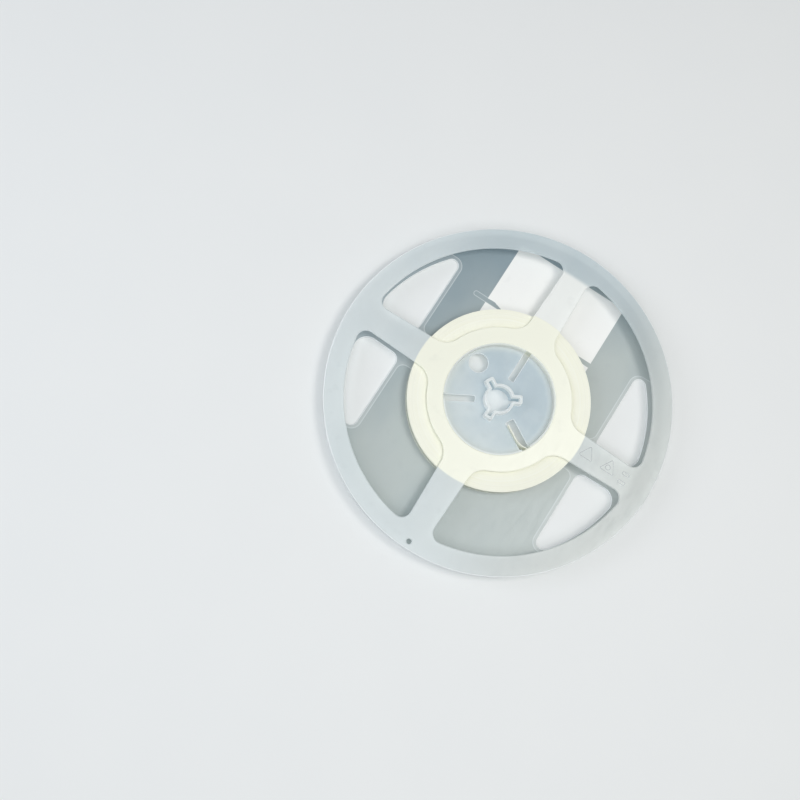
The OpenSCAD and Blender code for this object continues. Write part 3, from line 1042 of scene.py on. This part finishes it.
    def punched_strip(self) -> Mesh:
        """Makes the last turn flat: along X, 0 to the tape's width across Y, with its outer face up at z = 0."""
        mesh = bmesh.new()
        bmesh.ops.create_grid(mesh, x_segments=1, y_segments=1, size=0.5)
        bmesh.ops.scale(mesh, verts=mesh.verts, vec=(self.hole_pitch * MM, self.width * MM, 1))
        hole_y = self.width / 2 - self.hole_edge
        pocket_y = self.width / 2 - self.pocket_edge
        pocket_half = self.pocket[1] / 2 + self.pocket_room
        room = self.hole_room
        for direction, marks in (
            ((1, 0, 0), (-room, room)),
            ((0, 1, 0), (hole_y - room, hole_y + room, pocket_y - pocket_half, pocket_y + pocket_half)),
        ):
            for mark in marks:
                bmesh.ops.bisect_plane(
                    mesh,
                    geom=whole(mesh),
                    plane_co=Vector(direction) * mark * MM,
                    plane_no=direction,
                )
        for middle_y, width, height, cuts in (
            (hole_y, self.hole_d, self.hole_d, 2),
            (pocket_y, self.pocket[0], self.pocket[1], 0),
        ):
            middle = Vector((0, middle_y * MM, 0))
            window = nearest_face(mesh, middle)
            if cuts:
                bmesh.ops.subdivide_edges(mesh, edges=list(window.edges), cuts=cuts)
                window = nearest_face(mesh, middle)
            bmesh.ops.inset_individual(mesh, faces=[window], thickness=self.rim_face * MM)
            for vert in window.verts:
                side = vert.co - middle
                if cuts:
                    vert.co = middle + side.normalized() * width / 2 * MM
                else:
                    half = Vector((math.copysign(width, side.x), math.copysign(height, side.y), 0)) / 2
                    vert.co = middle + half * MM
            bmesh.ops.delete(mesh, geom=[window], context="FACES")
        bmesh.ops.translate(mesh, verts=mesh.verts, vec=(self.hole_pitch / 2 * MM, self.width / 2 * MM, 0))
        cell = whole(mesh)
        for number in range(1, self.cells()):
            made = bmesh.ops.duplicate(mesh, geom=cell)
            bmesh.ops.translate(mesh, verts=made_verts(made), vec=(self.hole_pitch * MM * number, 0, 0))
        bmesh.ops.remove_doubles(mesh, verts=mesh.verts, dist=0.005 * MM)
        made = bmesh.ops.extrude_face_region(mesh, geom=list(mesh.faces), use_keep_orig=True)
        bmesh.ops.translate(mesh, verts=made_verts(made), vec=(0, 0, -self.thickness * MM))
        bmesh.ops.recalc_face_normals(mesh, faces=mesh.faces)
        return mesh

    def wrap(self, mesh: Mesh) -> None:
        """Bends a flat mesh round the roll: X along the last turn, Y up the channel and Z outwards."""
        length = self.cells() * self.hole_pitch * MM
        for vert in mesh.verts:
            share = vert.co.x / length
            angle = math.radians(self.end_angle) + share * math.tau
            radius = (self.last_r + self.thickness / 2 + self.pitch * share) * MM + vert.co.z
            height = self.low_z * MM + vert.co.y + self.rise(self.sweep + share * math.tau)
            vert.co = (radius * math.cos(angle), radius * math.sin(angle), height)

    def chips(self) -> Mesh:
        """Makes the chips in the last turn's pockets: dark bodies with bright end caps."""
        mesh = bmesh.new()
        across, along, deep = self.chip
        made = bmesh.ops.create_cube(mesh, size=1)
        bmesh.ops.scale(mesh, verts=made["verts"], vec=(across * MM, along * MM, deep * MM))
        for side in (-self.chip_cap, self.chip_cap):
            bmesh.ops.bisect_plane(
                mesh,
                geom=whole(mesh),
                plane_co=(0, side * along / 2 * MM, 0),
                plane_no=(0, 1, 0),
            )
        for face in mesh.faces:
            face.material_index = int(abs(face.calc_center_median().y) > self.chip_cap * along / 2 * MM)
        middle = (self.hole_pitch / 2 * MM, (self.width - self.pocket_edge) * MM, -(deep / 2 + self.chip_depth) * MM)
        bmesh.ops.translate(mesh, verts=mesh.verts, vec=middle)
        chip = whole(mesh)
        for number in range(1, self.cells()):
            verts = made_verts(bmesh.ops.duplicate(mesh, geom=chip))
            spot = Vector((number * 0.37, 0.5, 0.5))
            shake = [self.chip_play * noise.noise(point) for point in (spot, spot.yzx)]
            bmesh.ops.translate(
                mesh, verts=verts, vec=((self.hole_pitch * number + shake[0]) * MM, shake[1] * MM, 0)
            )
        self.wrap(mesh)
        return mesh

    def cover(self) -> Mesh:
        """Makes the clear film that closes the last turn's pockets."""
        low, high, thick = self.film
        length = self.cells() * self.hole_pitch * MM
        mesh = bmesh.new()
        bmesh.ops.create_cube(mesh, size=1)
        bmesh.ops.translate(mesh, verts=mesh.verts, vec=(0.5, 0.5, 0.5))
        bmesh.ops.scale(mesh, verts=mesh.verts, vec=(length, (high - low) * MM, thick * MM))
        bmesh.ops.translate(mesh, verts=mesh.verts, vec=(0, low * MM, self.film_gap * MM))
        lengthwise = [e for e in mesh.edges if abs(e.verts[0].co.x - e.verts[1].co.x) > length / 2]
        bmesh.ops.subdivide_edges(mesh, edges=lengthwise, cuts=self.cells() * 4 - 1, use_grid_fill=True)
        self.wrap(mesh)
        return mesh

    def build(self) -> Piece:
        """Builds the wound strip, its chips and its cover film, and returns the strip."""
        mesh = self.winding()
        self.thread_tail(mesh)
        bmesh.ops.remove_doubles(mesh, verts=mesh.verts, dist=0.002 * MM)
        start = math.radians(self.slot_angle) + self.threading()[0]
        bmesh.ops.rotate(mesh, verts=mesh.verts, cent=(0, 0, 0), matrix=Matrix.Rotation(start, 3, "Z"))
        bmesh.ops.holes_fill(mesh, edges=mesh.edges, sides=0)
        bmesh.ops.recalc_face_normals(mesh, faces=mesh.faces)
        strip = self.punched_strip()
        self.wrap(strip)
        pour_into(mesh, strip)
        for face in mesh.faces:
            face.smooth = abs(face.normal.z) < UPRIGHT
        for edge in mesh.edges:
            edge.smooth = edge.calc_face_angle(0) < math.radians(20)
        piece = make_piece("paper_tape_roll", mesh, [CarrierPaper()])
        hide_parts("carrier_tape")
        body = SpeckledSolid("glazed_alumina", "#2A2A2C", "#1B1B1D", 0.35)
        cap = SpeckledSolid("tinned_end_cap", "#D9D8D4", "#C9C8C4", 0.32, 1.0)
        chips = make_piece("chips_in_pockets", self.chips(), [body, cap])
        film = make_piece("cover_film", self.cover(), [ClearFilm()])
        return piece


@dataclass
class PrintedLabel:
    """The label on the outer face of the label-side flange."""

    def build(self) -> Piece:
        """Dresses the label and returns it."""
        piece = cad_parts["label"]
        piece.data.materials.clear()
        piece.data.materials.append(LabelPaper().build())
        return piece


@dataclass(frozen=True)
class FloorPaper(Finish):
    """Pale matt background paper with faint broad blotches."""

    name: str = "floor_paper"
    light: str = "#EDEEED"
    dark: str = "#E8EAEA"
    roughness: float = 0.9

    def shade(self, plan: PlanPattern) -> Socket:
        """Adds this finish's nodes and returns its shader."""
        colour = plan.blend(plan.blotches(60.0, 0, 0.25), self.light, self.dark)
        shell = add_node(plan.tree, "BsdfPrincipled", {"Base Color": colour, "Roughness": self.roughness})
        return shell.outputs[0]


@dataclass(frozen=True)
class SoftBox:
    """One soft lamp: where it stands in metres from the reel, how large and how strong it is, and its tint."""

    name: str
    place: tuple[float, float, float]
    size: float
    watts: float
    tint: str


@dataclass
class Studio:
    """Plain pale floor, soft lamps and the camera, whose eye point is in millimetres."""

    floor: FloorPaper = FloorPaper()
    eye: tuple[float, float, float] = (-27.21, -124.27, 552.87)
    ahead: tuple[float, float, float] = (-0.02722, 0.17361, -0.98444)
    up: tuple[float, float, float] = (-0.54413, 0.82355, 0.16028)
    focal_length: float = 48.906
    lamps: tuple[SoftBox, ...] = (
        SoftBox("key", (0.3, 0.16, 1.0), 0.3, 2.6, "#FFFCF7"),
        SoftBox("overhead", (0.12, -0.25, 1.1), 0.9, 5.2, "#FAFDFF"),
        SoftBox("fill", (-0.7, -0.3, 0.6), 0.6, 2.2, "#EEF5FF"),
    )
    sky: str = "#F4F7FA"
    sky_strength: float = 0.32

    def build_floor(self) -> Piece:
        """Lays a plain floor just under the reel and returns it."""
        mesh = bmesh.new()
        bmesh.ops.create_grid(mesh, x_segments=1, y_segments=1, size=3.0)
        bmesh.ops.translate(mesh, verts=mesh.verts, vec=(0, 0, -0.03 * MM))
        data = bpy.data.meshes.new("floor")
        mesh.to_mesh(data)
        mesh.free()
        data.materials.append(self.floor.build())
        floor = put_in_scene("floor", data)
        return floor

    def build_lamps(self) -> None:
        """Hangs the lamps and sets the even light of the room."""
        for lamp in self.lamps:
            light = bpy.data.lights.new(lamp.name, "AREA")
            light.shape = "SQUARE"
            light.size = lamp.size
            light.energy = lamp.watts
            light.color = linear_rgba(lamp.tint)[:3]
            holder = put_in_scene(lamp.name, light)
            holder.location = lamp.place
            holder.rotation_euler = (-Vector(lamp.place)).to_track_quat("-Z", "Y").to_euler()
        world = bpy.data.worlds.new("studio")
        world.use_nodes = True
        world.node_tree.nodes.clear()
        values = {"Color": linear_rgba(self.sky), "Strength": self.sky_strength}
        sky = add_node(world.node_tree, "Background", values)
        add_node(world.node_tree, "OutputWorld", {"Surface": sky.outputs[0]})
        bpy.context.scene.world = world

    def build_camera(self) -> Piece:
        """Sets up the camera and returns it."""
        data = bpy.data.cameras.new("camera")
        data.sensor_width = 36
        data.lens = self.focal_length
        data.clip_start, data.clip_end = 0.01, 20
        camera = put_in_scene("camera", data)
        back = -Vector(self.ahead).normalized()
        right = Vector(self.up).cross(back).normalized()
        up = back.cross(right)
        turn = Matrix((right, up, back)).transposed().to_4x4()
        camera.matrix_world = Matrix.Translation(Vector(self.eye) * MM) @ turn
        bpy.context.scene.camera = camera
        return camera

    def build(self) -> None:
        """Builds the floor, the lamps and the camera."""
        self.build_camera()
        self.build_floor()
        self.build_lamps()
        bpy.context.scene.view_settings.view_transform = "Standard"


def main() -> None:
    """Builds the reel's pieces in order."""
    logging.basicConfig(level=logging.INFO, format="%(name)s: %(message)s")
    Studio().build()
    for part in (LabelSideMoulding(), OpenSideFlange(), RaisedMarks(), TapeRoll(), PrintedLabel()):
        piece = part.build()
        LOG.info("%s has %d faces", piece.name, len(piece.data.polygons))


if __name__ == "__main__":
    main()
